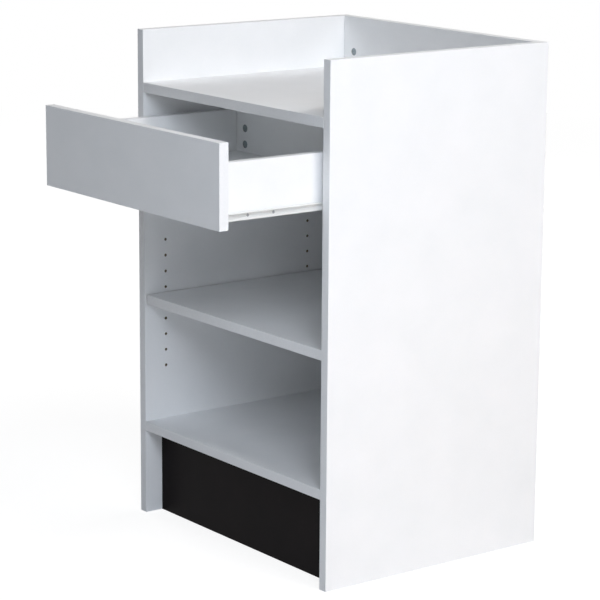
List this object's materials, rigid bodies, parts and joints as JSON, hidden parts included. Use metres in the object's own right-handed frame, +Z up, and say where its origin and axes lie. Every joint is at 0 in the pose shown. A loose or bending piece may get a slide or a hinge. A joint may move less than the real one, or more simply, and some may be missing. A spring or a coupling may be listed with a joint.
{
  "type": "checkout counter",
  "caption": "Cashier's stand of white board with a register well, a drawer on roller slides, an adjustable shelf and a black kick plate.",
  "frame": {"origin": "on the floor, halfway between the pulled-out drawer's face and the back panel's outer face, on the middle plane", "axes": "+Z up; -Y towards the cashier, the way the drawer opens; +X to the cashier's right when facing the counter"},
  "size_m": [0.6096, 0.7272, 0.9652],
  "materials": {
    "white_melamine": "satin white melamine on particleboard",
    "white_hardboard": "white-faced hardboard",
    "black_laminate": "satin black laminate on particleboard",
    "white_coated_steel": "white epoxy coating",
    "white_nylon": "moulded, matt",
    "zinc_plated_steel": "bright zinc plate"
  },
  "bodies": {
    "cabinet": {"left_side_panel": "white_melamine", "right_side_panel": "white_melamine", "back_panel": "white_melamine", "countertop": "white_melamine", "bottom_deck": "white_melamine", "kick_plate": "black_laminate", "cabinet_rail_left": "white_coated_steel", "cabinet_axle_left": "zinc_plated_steel", "cabinet_screw_front_left": "zinc_plated_steel", "cabinet_screw_rear_left": "zinc_plated_steel", "shelf_pin_front_left": "zinc_plated_steel", "countertop_fitting_front_left": "zinc_plated_steel", "deck_fitting_front_left": "zinc_plated_steel", "shelf_pin_rear_left": "zinc_plated_steel", "countertop_fitting_rear_left": "zinc_plated_steel", "deck_fitting_rear_left": "zinc_plated_steel", "back_fitting_top_left": "zinc_plated_steel", "back_fitting_middle_left": "zinc_plated_steel", "back_fitting_bottom_left": "zinc_plated_steel", "kick_fitting_left": "zinc_plated_steel", "cabinet_rail_right": "white_coated_steel", "cabinet_axle_right": "zinc_plated_steel", "cabinet_screw_front_right": "zinc_plated_steel", "cabinet_screw_rear_right": "zinc_plated_steel", "shelf_pin_front_right": "zinc_plated_steel", "countertop_fitting_front_right": "zinc_plated_steel", "deck_fitting_front_right": "zinc_plated_steel", "shelf_pin_rear_right": "zinc_plated_steel", "countertop_fitting_rear_right": "zinc_plated_steel", "deck_fitting_rear_right": "zinc_plated_steel", "back_fitting_top_right": "zinc_plated_steel", "back_fitting_middle_right": "zinc_plated_steel", "back_fitting_bottom_right": "zinc_plated_steel", "kick_fitting_right": "zinc_plated_steel"},
    "drawer": {"drawer_front": "white_melamine", "drawer_back": "white_melamine", "drawer_bottom": "white_hardboard", "drawer_side_left": "white_melamine", "drawer_rail_left": "white_coated_steel", "drawer_axle_left": "zinc_plated_steel", "drawer_screw_front_left": "zinc_plated_steel", "drawer_screw_rear_left": "zinc_plated_steel", "drawer_back_fitting_upper_left": "zinc_plated_steel", "drawer_side_fitting_upper_left": "zinc_plated_steel", "drawer_back_fitting_lower_left": "zinc_plated_steel", "drawer_side_fitting_lower_left": "zinc_plated_steel", "drawer_side_right": "white_melamine", "drawer_rail_right": "white_coated_steel", "drawer_axle_right": "zinc_plated_steel", "drawer_screw_front_right": "zinc_plated_steel", "drawer_screw_rear_right": "zinc_plated_steel", "drawer_back_fitting_upper_right": "zinc_plated_steel", "drawer_side_fitting_upper_right": "zinc_plated_steel", "drawer_back_fitting_lower_right": "zinc_plated_steel", "drawer_side_fitting_lower_right": "zinc_plated_steel"},
    "shelf": {"adjustable_shelf": "white_melamine"},
    "cabinet_roller_left": {"cabinet_roller_left": "white_nylon"},
    "cabinet_roller_right": {"cabinet_roller_right": "white_nylon"},
    "drawer_roller_left": {"drawer_roller_left": "white_nylon"},
    "drawer_roller_right": {"drawer_roller_right": "white_nylon"}
  },
  "joints": [
    {"name": "drawer_slide", "type": "slide", "parent": "cabinet", "child": "drawer", "axis": [0, -1, 0], "range_m": [-0.2193, 0.0857]},
    {"name": "shelf_lift", "type": "slide", "parent": "cabinet", "child": "shelf", "axis": [0, 0, 1], "range_m": [0, 0.15]},
    {"name": "cabinet_roller_left_spin", "type": "hinge", "parent": "cabinet", "child": "cabinet_roller_left", "pos_m": [-0.27995, -0.1109, 0.70015], "axis": [1, 0, 0], "range_deg": [-1200, 470]},
    {"name": "drawer_roller_left_spin", "type": "hinge", "parent": "drawer", "child": "drawer_roller_left", "pos_m": [-0.27885, 0.0439, 0.70445], "axis": [1, 0, 0], "range_deg": [-1200, 470]},
    {"name": "cabinet_roller_right_spin", "type": "hinge", "parent": "cabinet", "child": "cabinet_roller_right", "pos_m": [0.27995, -0.1109, 0.70015], "axis": [1, 0, 0], "range_deg": [-1200, 470]},
    {"name": "drawer_roller_right_spin", "type": "hinge", "parent": "drawer", "child": "drawer_roller_right", "pos_m": [0.27885, 0.0439, 0.70445], "axis": [1, 0, 0], "range_deg": [-1200, 470]}
  ],
  "couplings": [
    {"joint": "cabinet_roller_left_spin", "follows": "drawer_slide", "rad_per_m": 95.238},
    {"joint": "drawer_roller_left_spin", "follows": "drawer_slide", "rad_per_m": 95.238},
    {"joint": "cabinet_roller_right_spin", "follows": "drawer_slide", "rad_per_m": 95.238},
    {"joint": "drawer_roller_right_spin", "follows": "drawer_slide", "rad_per_m": 95.238}
  ]
}
